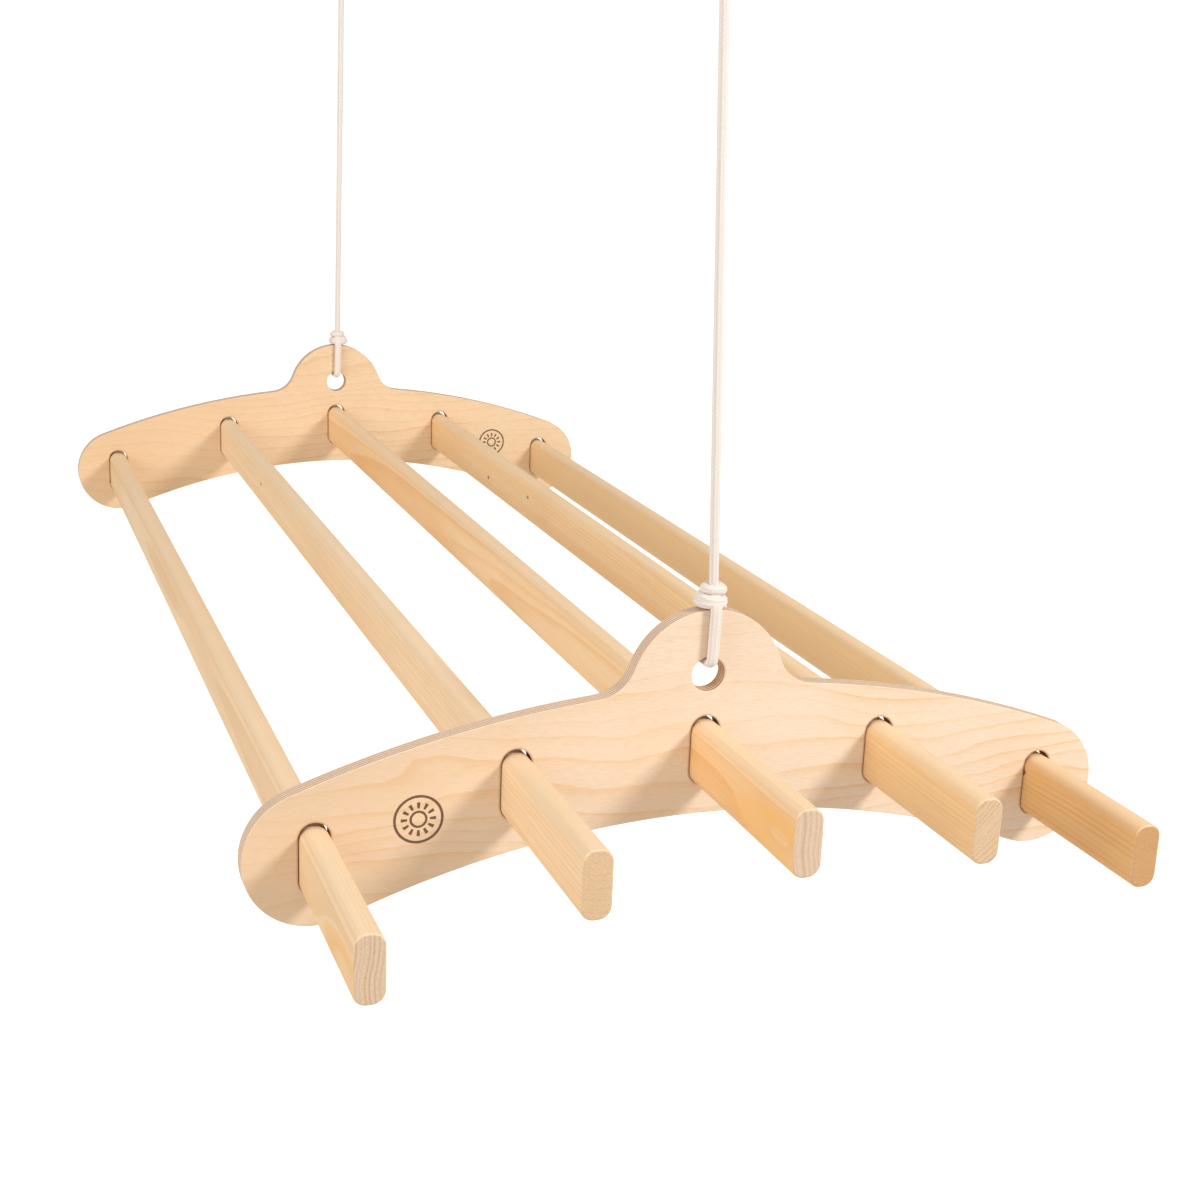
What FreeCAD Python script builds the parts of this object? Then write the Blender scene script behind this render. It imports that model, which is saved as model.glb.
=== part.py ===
import FreeCAD, Part
import math
import os
import Sketcher

# Ceiling mounted pulley rack: two plywood brackets carry five pine laths and hang from two ropes.
# Each rope is looped through its bracket, runs up to a ceiling pulley, goes over the wheel and
# ends in a stopper knot against the pulley's cheeks, which holds the rack at its lowest place.
#
# Frame: millimetres, +Z up, +X across the rack, +Y along the laths from the near bracket to the
# far one. The origin is the centre of the near ceiling plate's upper face, on the ceiling.

Vector = FreeCAD.Vector

DIMENSIONS = [
    # the rack as a whole
    ("bracket_spacing", 1154.0, "between the middles of the two brackets"),
    ("lath_length", 1410.0, "length of every lath"),
    ("hole_below_ceiling", 520.0, "from the ceiling down to the middle of the rope holes"),
    ("rope_inward", 35.0, "how much nearer the middle each rope meets its pulley"),
    # brackets; heights are measured up from the middle of the rope hole
    ("bracket_thick", 12.0, "plywood thickness"),
    ("bracket_end_radius", 46.0, "round end of a bracket"),
    ("bracket_top_height", -8.0, "where the long top curve would cross the middle"),
    ("bracket_belly_height", -97.8, "middle of the hollow lower curve"),
    ("crown_radius", 55.0, "round crown over the rope hole"),
    ("crown_height", -10.8, "centre of the crown"),
    ("crown_foot_radius", 28.0, "hollow curve at each foot of the crown"),
    ("rope_hole_radius", 11.5, "rope hole"),
    ("rope_hole_easing", 1.5, "rounding of the rope hole's rims"),
    ("bracket_easing", 0.5, "small chamfer round the bracket's outline"),
    # slots and laths
    ("lath_pitch", 130.6, "sideways distance from lath to lath"),
    ("slot_arc_radius", 725.0, "curve that the slots are strung along"),
    ("slot_middle_height", -52.8, "middle of the central slot"),
    ("lath_width", 19.5, "lath section, across"),
    ("lath_height", 44.0, "lath section, upright"),
    ("lath_corner_radius", 8.5, "rounded long edges of a lath"),
    ("lath_end_easing", 1.5, "rounding round the ends of a lath"),
    ("slot_side_gap", 0.6, "free space on each side of a lath"),
    ("slot_under_gap", 1.0, "space under a lath's rounded underside"),
    ("slot_over_gap", 3.5, "space above a lath"),
    ("lath_shift_1", -29.0, "how far the first lath has slid from the middle"),
    ("lath_shift_2", -33.0, "second lath"),
    ("lath_shift_3", -35.0, "third lath"),
    ("lath_shift_4", -22.0, "fourth lath"),
    ("lath_shift_5", -10.0, "fifth lath"),
    # rope
    ("rope_diameter", 6.0, "braided cotton cord"),
    ("rope_gap", 0.4, "free space between the rope and what it touches"),
    ("knot_lower_radius", 12.2, "outside of the lower turn of the hanging knot"),
    ("knot_upper_radius", 9.5, "outside of the upper turn of the hanging knot"),
    ("knot_lower_turn", 7.6, "thickness of the lower turn"),
    ("knot_upper_turn", 7.0, "thickness of the upper turn"),
    ("knot_over_crown", 1.0, "space between the crown and the knot"),
    ("knot_core_foot", 0.8, "height at which the knot's core starts, inside the lower turn"),
    ("knot_core_head", 0.7, "how far the knot's core stands above the upper turn"),
    ("knot_rope_space", 0.5, "free space between a knot and the rope that runs on from it"),
    ("stopper_radius", 9.8, "outside of the stopper knot"),
    ("stopper_length", 15.0, "stopper knot along the rope"),
    ("stopper_taper", 0.8, "how much smaller its outer turn is"),
    ("rope_tail_length", 20.0, "rope end beyond the stopper knot"),
    ("rope_part_space", 0.3, "free space between the turn over the wheel and the hauling rope"),
    # ceiling pulleys
    ("plate_size", 64.0, "side of the square ceiling plate"),
    ("plate_thick", 3.0, "ceiling plate"),
    ("plate_corner_radius", 8.0, "corners of the ceiling plate"),
    ("screw_hole_radius", 2.5, "hole for a ceiling screw"),
    ("screw_spacing_across", 46.0, "screw holes, across the rack"),
    ("screw_spacing_along", 44.0, "screw holes, along the rack"),
    ("screw_sink", 2.0, "countersink of a screw hole"),
    ("axle_below_ceiling", 35.0, "wheel axle"),
    ("wheel_rope_radius", 20.0, "middle of the rope where it goes round the wheel"),
    ("wheel_radius", 25.0, "outside of the wheel"),
    ("wheel_width", 12.0, "wheel along its axle"),
    ("groove_flare", 1.2, "how much the groove opens towards the rim, on each side"),
    ("wheel_recess", 2.0, "depth of the ring hollowed in each side of the wheel"),
    ("wheel_boss_wall", 4.0, "wheel's boss round the bush"),
    ("wheel_rim_floor", 2.5, "wheel left under the groove"),
    ("wheel_recess_slope", 1.0, "sloping sides of the hollowed ring"),
    ("bush_radius", 5.0, "outside of the brass bush"),
    ("bush_end_play", 0.5, "bush beyond the wheel, and free space beside it"),
    ("axle_radius", 3.0, "axle pin"),
    ("axle_running_gap", 0.05, "radial gap between the pin and its bush"),
    ("axle_head_radius", 5.0, "head of the axle pin"),
    ("axle_head_thick", 2.0, "head of the axle pin"),
    ("axle_end_length", 2.0, "pin beyond its retaining clip"),
    ("clip_radius", 5.6, "retaining clip"),
    ("clip_thick", 1.0, "retaining clip"),
    ("clip_groove_depth", 0.7, "groove in the pin for the clip"),
    ("yoke_thick", 2.5, "bent steel strap of the yoke"),
    ("yoke_cover", 2.0, "how far the cheeks reach beyond the wheel's rim"),
    ("yoke_corner_radius", 20.0, "lower corners of the cheeks"),
    ("yoke_bend_radius", 1.5, "outer bend of the strap"),
    ("rivet_radius", 2.0, "rivets that hold the yoke to its plate"),
    ("rivet_head_radius", 4.0, "rivet head"),
    ("rivet_head_height", 1.8, "rivet head"),
    ("rivet_head_taper", 1.0, "how much smaller the head is at its lower face"),
    ("rivet_spacing", 24.0, "distance between the two rivets"),
]

LATH_COUNT = 5
MIDDLE_LATH = LATH_COUNT // 2
SHEET = "Sizes"
# share of a cheek's reach at which the rope over the wheel hands over to the hauling rope
HAND_OVER = 0.6
# how far round the rope the bottom of the wheel's groove reaches, on each side
GROOVE_WRAP = math.radians(70)
# shapes nearer than this, in millimetres, count as touching
CLOSE = 0.01

# names for the sketcher's numbers
START, END, CENTRE = 1, 2, 3
X_AXIS, Y_AXIS = -1, -2


class Size:
    """A length that knows both its value and the sheet expression it comes from."""

    def __init__(self, value, text):
        self.value = value
        self.text = text

    def _join(self, sign, other, value, flip=False):
        right = other.text if isinstance(other, Size) else repr(float(other))
        left = self.text
        if flip:
            left, right = right, left
        return Size(value, f"({left} {sign} {right})")

    def __add__(self, other):
        return self._join("+", other, self.value + number(other))

    def __radd__(self, other):
        return self._join("+", other, number(other) + self.value, flip=True)

    def __sub__(self, other):
        return self._join("-", other, self.value - number(other))

    def __rsub__(self, other):
        return self._join("-", other, number(other) - self.value, flip=True)

    def __mul__(self, other):
        return self._join("*", other, self.value * number(other))

    def __rmul__(self, other):
        return self._join("*", other, number(other) * self.value, flip=True)

    def __truediv__(self, other):
        return self._join("/", other, self.value / number(other))

    def __neg__(self):
        return Size(-self.value, f"(0 - {self.text})")


def number(value):
    return value.value if isinstance(value, Size) else float(value)


def root(size):
    return Size(math.sqrt(size.value), f"sqrt({size.text})")


class Sizes:
    """The driving dimensions, as attributes."""


doc = FreeCAD.newDocument("PulleyRack")
sheet = doc.addObject("Spreadsheet::Sheet", SHEET)
s = Sizes()
for row, (alias, value, note) in enumerate(DIMENSIONS, start=1):
    sheet.set(f"A{row}", alias)
    sheet.set(f"B{row}", str(value))
    sheet.setAlias(f"B{row}", alias)
    sheet.set(f"C{row}", note)
    setattr(s, alias, Size(value, f"{SHEET}.{alias}"))
doc.recompute()

nodes = []


def bind(item, prop, size):
    """Tie a property to the sheet."""
    item.setExpression(prop, size.text if isinstance(size, Size) else repr(float(size)))


def place(item, x=0.0, y=0.0, z=0.0):
    """Put a finished sub-part where it belongs and note it for export."""
    for axis, size in (("x", x), ("y", y), ("z", z)):
        if isinstance(size, Size):
            bind(item, f"Placement.Base.{axis}", size)
    nodes.append(item)
    return item


# ---------------------------------------------------------------- sketch helpers

def plane_of(body, role):
    return [f for f in body.Origin.OriginFeatures if f.Role == role][0]


def new_body(label):
    body = doc.addObject("PartDesign::Body", label)
    body.Label = label
    return body


def new_sketch(body, name, role):
    sketch = body.newObject("Sketcher::SketchObject", name)
    sketch.AttachmentSupport = (plane_of(body, role), [""])
    sketch.MapMode = "FlatFace"
    return sketch


def fix_point(sketch, index, end, x, y):
    """Hold a sketch point at x, y from the origin; a plain zero puts it on the axis."""
    for kind, size, axis in (("DistanceX", x, Y_AXIS), ("DistanceY", y, X_AXIS)):
        if isinstance(size, Size):
            row = sketch.addConstraint(
                Sketcher.Constraint(kind, X_AXIS, START, index, end, size.value))
            bind(sketch, f"Constraints[{row}]", size)
        else:
            sketch.addConstraint(Sketcher.Constraint("PointOnObject", index, end, axis))


def fix_radius(sketch, index, size):
    row = sketch.addConstraint(Sketcher.Constraint("Radius", index, size.value))
    bind(sketch, f"Constraints[{row}]", size)


def add_circle(sketch, x, y, radius):
    centre = Vector(number(x), number(y), 0)
    index = sketch.addGeometry(Part.Circle(centre, Vector(0, 0, 1), radius.value), False)
    fix_point(sketch, index, CENTRE, x, y)
    fix_radius(sketch, index, radius)


def arc_between(a, b, radius, centre_on_left):
    """The short arc from a to b, as sketch geometry."""
    chord = b - a
    height = math.sqrt(max(radius ** 2 - (chord.Length / 2) ** 2, 0.0))
    side = Vector(-chord.y, chord.x, 0).normalize() * (height if centre_on_left else -height)
    centre = a + chord * 0.5 + side
    start, stop = (a, b) if centre_on_left else (b, a)
    angles = [math.atan2(p.y - centre.y, p.x - centre.x) for p in (start, stop)]
    if angles[1] < angles[0]:
        angles[1] += 2 * math.pi
    circle = Part.Circle(centre, Vector(0, 0, 1), radius)
    return Part.ArcOfCircle(circle, angles[0], angles[1])


def add_profile(sketch, corners):
    """A closed profile. A corner is (x, y), or (x, y, radius, centre_on_left) where the side
    that leaves it is an arc."""
    points = [Vector(number(c[0]), number(c[1]), 0) for c in corners]
    ends = []
    for k, corner in enumerate(corners):
        a, b = points[k], points[(k + 1) % len(points)]
        if len(corner) > 2:
            index = sketch.addGeometry(arc_between(a, b, corner[2].value, corner[3]), False)
            ends.append((index, START, END) if corner[3] else (index, END, START))
        else:
            index = sketch.addGeometry(Part.LineSegment(a, b), False)
            ends.append((index, START, END))
    for k, corner in enumerate(corners):
        index, first, last = ends[k]
        following = ends[(k + 1) % len(ends)]
        sketch.addConstraint(
            Sketcher.Constraint("Coincident", index, last, following[0], following[1]))
        fix_point(sketch, index, first, corner[0], corner[1])
        if len(corner) > 2:
            fix_radius(sketch, index, corner[2])


def add_slot(sketch, x, y, width, height):
    """An upright slot with full round ends, its middle at x, y."""
    radius = width / 2
    reach = height / 2 - radius
    r = radius.value
    cx, top, low = number(x), (y + reach).value, (y - reach).value
    up = Vector(0, 0, 1)
    arc_top = Part.ArcOfCircle(Part.Circle(Vector(cx, top, 0), up, r), 0, math.pi)
    arc_low = Part.ArcOfCircle(Part.Circle(Vector(cx, low, 0), up, r), math.pi, 2 * math.pi)
    left = Part.LineSegment(Vector(cx - r, top, 0), Vector(cx - r, low, 0))
    right = Part.LineSegment(Vector(cx + r, low, 0), Vector(cx + r, top, 0))
    first = sketch.addGeometry([arc_top, left, arc_low, right], False)[0]
    for a, b in ((0, 1), (1, 2), (2, 3), (3, 0)):
        sketch.addConstraint(Sketcher.Constraint("Tangent", first + a, END, first + b, START))
    sketch.addConstraint(Sketcher.Constraint("Equal", first, first + 2))
    fix_point(sketch, first, CENTRE, x, y + reach)
    fix_point(sketch, first + 2, CENTRE, x, y - reach)
    fix_radius(sketch, first, radius)


def pad(body, sketch, length):
    """Thicken a sketch by the same amount on both sides of its plane."""
    item = body.newObject("PartDesign::Pad", "Pad")
    item.Profile = sketch
    bind(item, "Length", length)
    item.Midplane = True
    doc.recompute()
    return item


def cut_through(body, sketch):
    """Cut a sketch right through, and prove that something was taken away."""
    before = body.Shape.Volume
    item = body.newObject("PartDesign::Pocket", "Pocket")
    item.Profile = sketch
    item.Type = "ThroughAll"
    item.Midplane = True
    doc.recompute()
    if not body.Shape.Volume < before:
        raise RuntimeError(f"{item.Name} of {body.Label} cuts nothing")


def edges_where(shape, wanted):
    return [f"Edge{k}" for k, edge in enumerate(shape.Edges, start=1) if wanted(edge)]


def is_circle(edge, radius):
    return isinstance(edge.Curve, Part.Circle) and abs(edge.Curve.Radius - radius.value) < CLOSE


def lies_at_y(edge, distance):
    """Whether an edge lies flat in one of the two upright planes that far from the origin."""
    box = edge.BoundBox
    return box.YLength < CLOSE and abs(abs(box.YMin) - distance.value) < CLOSE


def ease(body, kind, prop, names, size):
    """Fillet or chamfer the named edges of the body's present shape."""
    if not names:
        raise RuntimeError(f"no edges to ease on {body.Label}")
    present = body.Tip
    item = body.newObject(f"PartDesign::{kind}", kind)
    item.Base = (present, names)
    bind(item, prop, size)
    doc.recompute()


# ---------------------------------------------------------------- places worked out once

rope_radius = s.rope_diameter / 2


def slot_place(k):
    """Sideways place of a slot's middle, and its height above the middle of the rope hole."""
    steps = k - MIDDLE_LATH
    if not steps:
        return 0.0, s.slot_middle_height
    x = s.lath_pitch * steps
    radius = s.slot_arc_radius
    return x, s.slot_middle_height - radius + root(radius * radius - x * x)


near_bracket_y = s.wheel_rope_radius - s.rope_inward
far_bracket_y = near_bracket_y + s.bracket_spacing
far_pulley_y = s.bracket_spacing - s.rope_inward * 2
hole_z = -s.hole_below_ceiling
slot_width = s.lath_width + s.slot_side_gap * 2
slot_length = s.lath_height + s.slot_under_gap + s.slot_over_gap
knot_base_z = s.crown_height + s.crown_radius + s.knot_over_crown
knot_top_z = knot_base_z + s.knot_lower_turn + s.knot_upper_turn + s.knot_core_head
cheek_reach = s.wheel_radius + s.yoke_cover
inner_gap = s.wheel_width + s.bush_end_play * 4
outer_gap = inner_gap + s.yoke_thick * 2


# ---------------------------------------------------------------- brackets

def half_outline(body):
    """Right half of the bracket's face: crown, hollow foot, long top curve, round end and
    hollow belly, each tangent to the next, closed along the middle line."""
    sketch = new_sketch(body, "Outline", "XZ_Plane")
    r_end, r_foot, r_crown = s.bracket_end_radius, s.crown_foot_radius, s.crown_radius
    end_x, end_z = slot_place(LATH_COUNT - 1)
    rise = s.bracket_top_height - end_z
    r_top = (end_x * end_x + rise * rise - r_end * r_end) / ((rise - r_end) * 2)
    dip = end_z - s.bracket_belly_height
    r_belly = (end_x * end_x + dip * dip - r_end * r_end) / ((r_end - dip) * 2)
    top_z = s.bracket_top_height - r_top
    belly_z = s.bracket_belly_height - r_belly
    # centre of the hollow foot: outside both the crown and the long top curve
    to_crown = r_crown.value + r_foot.value
    to_top = r_top.value + r_foot.value
    between = s.crown_height.value - top_z.value
    along = (to_top ** 2 - to_crown ** 2 + between ** 2) / (2 * between)
    foot = Vector(math.sqrt(to_top ** 2 - along ** 2), top_z.value + along, 0)
    crown = Vector(0, s.crown_height.value, 0)
    top = Vector(0, top_z.value, 0)
    end = Vector(end_x.value, end_z.value, 0)
    belly = Vector(0, belly_z.value, 0)

    def heading(a, b):
        return math.atan2(b.y - a.y, b.x - a.x)

    def arc(centre, radius, start, stop):
        if stop < start:
            stop += 2 * math.pi
        circle = Part.Circle(centre, Vector(0, 0, 1), number(radius))
        return Part.ArcOfCircle(circle, start, stop)

    crown_arc = arc(crown, r_crown, heading(crown, foot), math.pi / 2)
    foot_arc = arc(foot, r_foot, heading(foot, crown), heading(foot, top))
    top_arc = arc(top, r_top, heading(top, end), heading(top, foot))
    end_arc = arc(end, r_end, heading(end, belly), heading(top, end))
    belly_arc = arc(belly, r_belly, heading(belly, end), math.pi / 2)
    high = Vector(0, s.crown_height.value + r_crown.value, 0)
    low = Vector(0, s.bracket_belly_height.value, 0)
    middle = Part.LineSegment(high, low)
    c, f, t, e, b, m = sketch.addGeometry(
        [crown_arc, foot_arc, top_arc, end_arc, belly_arc, middle], False)

    def tangent(first, first_end, second, second_end):
        sketch.addConstraint(Sketcher.Constraint("Tangent", first, first_end, second, second_end))

    tangent(c, START, f, START)
    tangent(f, END, t, END)
    tangent(t, START, e, END)
    tangent(e, START, b, START)
    sketch.addConstraint(Sketcher.Constraint("Coincident", c, END, m, START))
    sketch.addConstraint(Sketcher.Constraint("Coincident", b, END, m, END))
    fix_point(sketch, m, END, 0, s.bracket_belly_height)
    for index, end in ((m, START), (t, CENTRE), (b, CENTRE)):
        sketch.addConstraint(Sketcher.Constraint("PointOnObject", index, end, Y_AXIS))
    fix_point(sketch, c, CENTRE, 0, s.crown_height)
    fix_point(sketch, e, CENTRE, end_x, end_z)
    fix_radius(sketch, c, r_crown)
    fix_radius(sketch, f, r_foot)
    fix_radius(sketch, e, r_end)
    fix_radius(sketch, t, r_top)
    return sketch


def make_bracket(label, y):
    body = new_body(label)
    half = pad(body, half_outline(body), s.bracket_thick)
    whole = body.newObject("PartDesign::Mirrored", "BothHalves")
    whole.Originals = [half]
    whole.MirrorPlane = (plane_of(body, "YZ_Plane"), [""])
    body.Tip = whole
    doc.recompute()

    def on_a_face(edge):
        return lies_at_y(edge, s.bracket_thick / 2)

    ease(body, "Chamfer", "Size", edges_where(body.Shape, on_a_face), s.bracket_easing)

    openings = new_sketch(body, "Openings", "XZ_Plane")
    for k in range(LATH_COUNT):
        x, height = slot_place(k)
        add_slot(openings, x, height, slot_width, slot_length)
    add_circle(openings, 0, 0, s.rope_hole_radius)
    cut_through(body, openings)

    def rim_of_rope_hole(edge):
        if not is_circle(edge, s.rope_hole_radius):
            return False
        return math.hypot(edge.Curve.Center.x, edge.Curve.Center.z) < CLOSE

    ease(body, "Fillet", "Radius", edges_where(body.Shape, rim_of_rope_hole), s.rope_hole_easing)
    return place(body, y=y, z=hole_z)


make_bracket("near_bracket", near_bracket_y)
make_bracket("far_bracket", far_bracket_y)


# ---------------------------------------------------------------- laths

def make_lath(k):
    """One lath: a pine strip with rounded long edges and eased ends, lying in its slots."""
    body = new_body(f"lath_{k + 1}")
    w, h = s.lath_width / 2, s.lath_height / 2
    sketch = new_sketch(body, "Section", "XZ_Plane")
    add_profile(sketch, [(-w, -h), (w, -h), (w, h), (-w, h)])
    pad(body, sketch, s.lath_length)
    reach = s.lath_length / 2
    long_edges = edges_where(body.Shape, lambda edge: edge.BoundBox.YLength > reach.value)
    ease(body, "Fillet", "Radius", long_edges, s.lath_corner_radius)
    end_edges = edges_where(body.Shape, lambda edge: lies_at_y(edge, reach))
    ease(body, "Fillet", "Radius", end_edges, s.lath_end_easing)
    x, slot_middle = slot_place(k)
    z = hole_z + slot_middle + (s.slot_under_gap - s.slot_over_gap) / 2
    y = near_bracket_y + s.bracket_spacing / 2 + getattr(s, f"lath_shift_{k + 1}")
    return place(body, x=x, y=y, z=z)


for k in range(LATH_COUNT):
    make_lath(k)


# ---------------------------------------------------------------- ceiling pulleys

def make_plate(end, y):
    """Square ceiling plate with four countersunk screw holes and two rivet holes."""
    body = new_body(f"{end}_ceiling_plate")
    half = s.plate_size / 2
    sketch = new_sketch(body, "Square", "XY_Plane")
    add_profile(sketch, [(-half, -half), (half, -half), (half, half), (-half, half)])
    pad(body, sketch, s.plate_thick)
    thick = s.plate_thick.value
    upright = edges_where(body.Shape, lambda edge: edge.BoundBox.ZLength > thick / 2)
    ease(body, "Fillet", "Radius", upright, s.plate_corner_radius)
    holes = new_sketch(body, "Holes", "XY_Plane")
    for across in (-1, 1):
        for along in (-1, 1):
            add_circle(holes, s.screw_spacing_across * (across / 2),
                       s.screw_spacing_along * (along / 2), s.screw_hole_radius)
        add_circle(holes, 0, s.rivet_spacing * (across / 2), s.rivet_radius)
    cut_through(body, holes)

    def lower_rim(edge):
        return is_circle(edge, s.screw_hole_radius) and edge.Curve.Center.z < 0

    ease(body, "Chamfer", "Size", edges_where(body.Shape, lower_rim), s.screw_sink)
    return place(body, y=y, z=-s.plate_thick / 2)


def make_yoke(end, y):
    """Steel strap bent into two cheeks, with holes for the axle and the two rivets."""
    body = new_body(f"{end}_yoke")
    inner, outer = inner_gap / 2, outer_gap / 2
    top = s.axle_below_ceiling - s.plate_thick
    under = top - s.yoke_thick
    sketch = new_sketch(body, "Strap", "XZ_Plane")
    add_profile(sketch, [(-outer, -cheek_reach), (-inner, -cheek_reach), (-inner, under),
                         (inner, under), (inner, -cheek_reach), (outer, -cheek_reach),
                         (outer, top), (-outer, top)])
    pad(body, sketch, cheek_reach * 2)

    def lower_corner(edge):
        return lies_at_y(edge, cheek_reach) and edge.BoundBox.ZMax < CLOSE - cheek_reach.value

    ease(body, "Fillet", "Radius", edges_where(body.Shape, lower_corner), s.yoke_corner_radius)

    def outer_bend(edge):
        box = edge.BoundBox
        return box.YLength > cheek_reach.value and box.ZMin > top.value - CLOSE

    ease(body, "Fillet", "Radius", edges_where(body.Shape, outer_bend), s.yoke_bend_radius)
    axle = new_sketch(body, "AxleHoles", "YZ_Plane")
    add_circle(axle, 0, 0, s.axle_radius)
    cut_through(body, axle)
    rivets = new_sketch(body, "RivetHoles", "XY_Plane")
    for side in (-1, 1):
        add_circle(rivets, 0, s.rivet_spacing * (side / 2), s.rivet_radius)
    cut_through(body, rivets)
    return place(body, y=y, z=-s.axle_below_ceiling)


def turned_on_axle(label, corners, y):
    """A round sub-part on the wheel's axle; its half profile runs along x and out along z."""
    body = new_body(label)
    sketch = new_sketch(body, "HalfProfile", "XZ_Plane")
    add_profile(sketch, corners)
    turn = body.newObject("PartDesign::Revolution", "Turned")
    turn.Profile = sketch
    turn.ReferenceAxis = (sketch, ["H_Axis"])
    turn.Angle = 360
    doc.recompute()
    place(body, y=y, z=-s.axle_below_ceiling)


def make_wheel(end, y):
    """Grooved wheel with a brass bush."""
    half = s.wheel_width / 2
    groove = rope_radius + s.rope_gap
    rim = groove + s.groove_flare
    recess = half - s.wheel_recess
    boss = s.bush_radius + s.wheel_boss_wall
    web = s.wheel_rope_radius - groove - s.wheel_rim_floor
    boss_foot, web_foot = boss + s.wheel_recess_slope, web - s.wheel_recess_slope
    side = groove * math.sin(GROOVE_WRAP)
    lip = s.wheel_rope_radius - groove * math.cos(GROOVE_WRAP)
    corners = [
        (-half, s.bush_radius), (half, s.bush_radius), (half, boss), (recess, boss_foot),
        (recess, web_foot), (half, web), (half, s.wheel_radius), (rim, s.wheel_radius),
        (side, lip, groove, False), (-side, lip),
        (-rim, s.wheel_radius), (-half, s.wheel_radius), (-half, web), (-recess, web_foot),
        (-recess, boss_foot), (-half, boss),
    ]
    turned_on_axle(f"{end}_wheel", corners, y)
    reach = half + s.bush_end_play
    bore = s.axle_radius + s.axle_running_gap
    ring = [(-reach, bore), (reach, bore), (reach, s.bush_radius), (-reach, s.bush_radius)]
    turned_on_axle(f"{end}_bush", ring, y)


def make_axle(end, y):
    """Headed axle pin with a groove, and the retaining clip that sits in it."""
    cheek = outer_gap / 2
    head = cheek + s.axle_head_thick
    groove_end = cheek + s.clip_thick
    tip = groove_end + s.axle_end_length
    neck = s.axle_radius - s.clip_groove_depth
    pin = [(-head, 0), (tip, 0), (tip, s.axle_radius), (groove_end, s.axle_radius),
           (groove_end, neck), (cheek, neck), (cheek, s.axle_radius), (-cheek, s.axle_radius),
           (-cheek, s.axle_head_radius), (-head, s.axle_head_radius)]
    turned_on_axle(f"{end}_axle_pin", pin, y)
    clip = [(cheek, neck), (groove_end, neck), (groove_end, s.clip_radius), (cheek, s.clip_radius)]
    turned_on_axle(f"{end}_axle_clip", clip, y)


def make_rivets(end, y):
    """Two rivets: flush on the ceiling side, round headed inside the yoke."""
    group = doc.addObject("Part::Compound", f"{end}_yoke_rivets")
    group.Label = f"{end}_yoke_rivets"
    through = s.plate_thick + s.yoke_thick
    rivets = []
    for side in (-1, 1):
        shank = doc.addObject("Part::Cylinder", f"{end}_shank")
        bind(shank, "Radius", s.rivet_radius)
        bind(shank, "Height", through)
        bind(shank, "Placement.Base.y", s.rivet_spacing * (side / 2))
        bind(shank, "Placement.Base.z", -through)
        head = doc.addObject("Part::Cone", f"{end}_head")
        bind(head, "Radius1", s.rivet_head_radius - s.rivet_head_taper)
        bind(head, "Radius2", s.rivet_head_radius)
        bind(head, "Height", s.rivet_head_height)
        bind(head, "Placement.Base.y", s.rivet_spacing * (side / 2))
        bind(head, "Placement.Base.z", -(through + s.rivet_head_height))
        rivet = doc.addObject("Part::Fuse", f"{end}_rivet")
        rivet.Base = shank
        rivet.Tool = head
        rivets.append(rivet)
    group.Links = rivets
    place(group, y=y)


# ---------------------------------------------------------------- rope

def tube(runs_and_turns):
    """Sweep the rope's round section along edges that meet tangentially; the volume has to
    come out as section times length, within a hundredth."""
    wire = Part.Wire(runs_and_turns)
    start = wire.OrderedVertexes[0].Point
    first = wire.OrderedEdges[0]
    heading = first.tangentAt(first.FirstParameter)
    if (first.valueAt(first.FirstParameter) - start).Length > CLOSE:
        heading = first.tangentAt(first.LastParameter) * -1
    circle = Part.Wire(Part.makeCircle(rope_radius.value, start, heading))
    solid = wire.makePipeShell([circle], True, False)
    expected = math.pi * rope_radius.value ** 2 * wire.Length
    if abs(solid.Volume - expected) > 0.01 * expected:
        raise RuntimeError(f"rope volume {solid.Volume:.0f}, section times length {expected:.0f}")
    return solid, wire.Length


def rope_feature(label, shape, y=0.0, z=0.0):
    item = doc.addObject("Part::Feature", label)
    item.Label = label
    item.Shape = shape
    item.Placement.Base = Vector(0, y, z)
    nodes.append(item)


def turn_round(centre, radius, start, stop):
    """Arc in the YZ plane; angles in degrees from +Y towards +Z."""
    def at(angle):
        a = math.radians(angle)
        return centre + Vector(0, radius * math.cos(a), radius * math.sin(a))
    return Part.Arc(at(start), at((start + stop) / 2), at(stop)).toShape()


def straight(a, b):
    return Part.LineSegment(a, b).toShape()


def turns_of_knot(start, axis, turns):
    """The round turns of a knot, side by side along an axis, each an outside radius and a
    thickness."""
    rings = []
    at = 0.0
    for outside, thick in turns:
        middle = start + axis * (at + thick / 2)
        rings.append(Part.makeTorus(outside - thick / 2, thick / 2, middle, axis))
        at += thick
    return rings


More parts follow.
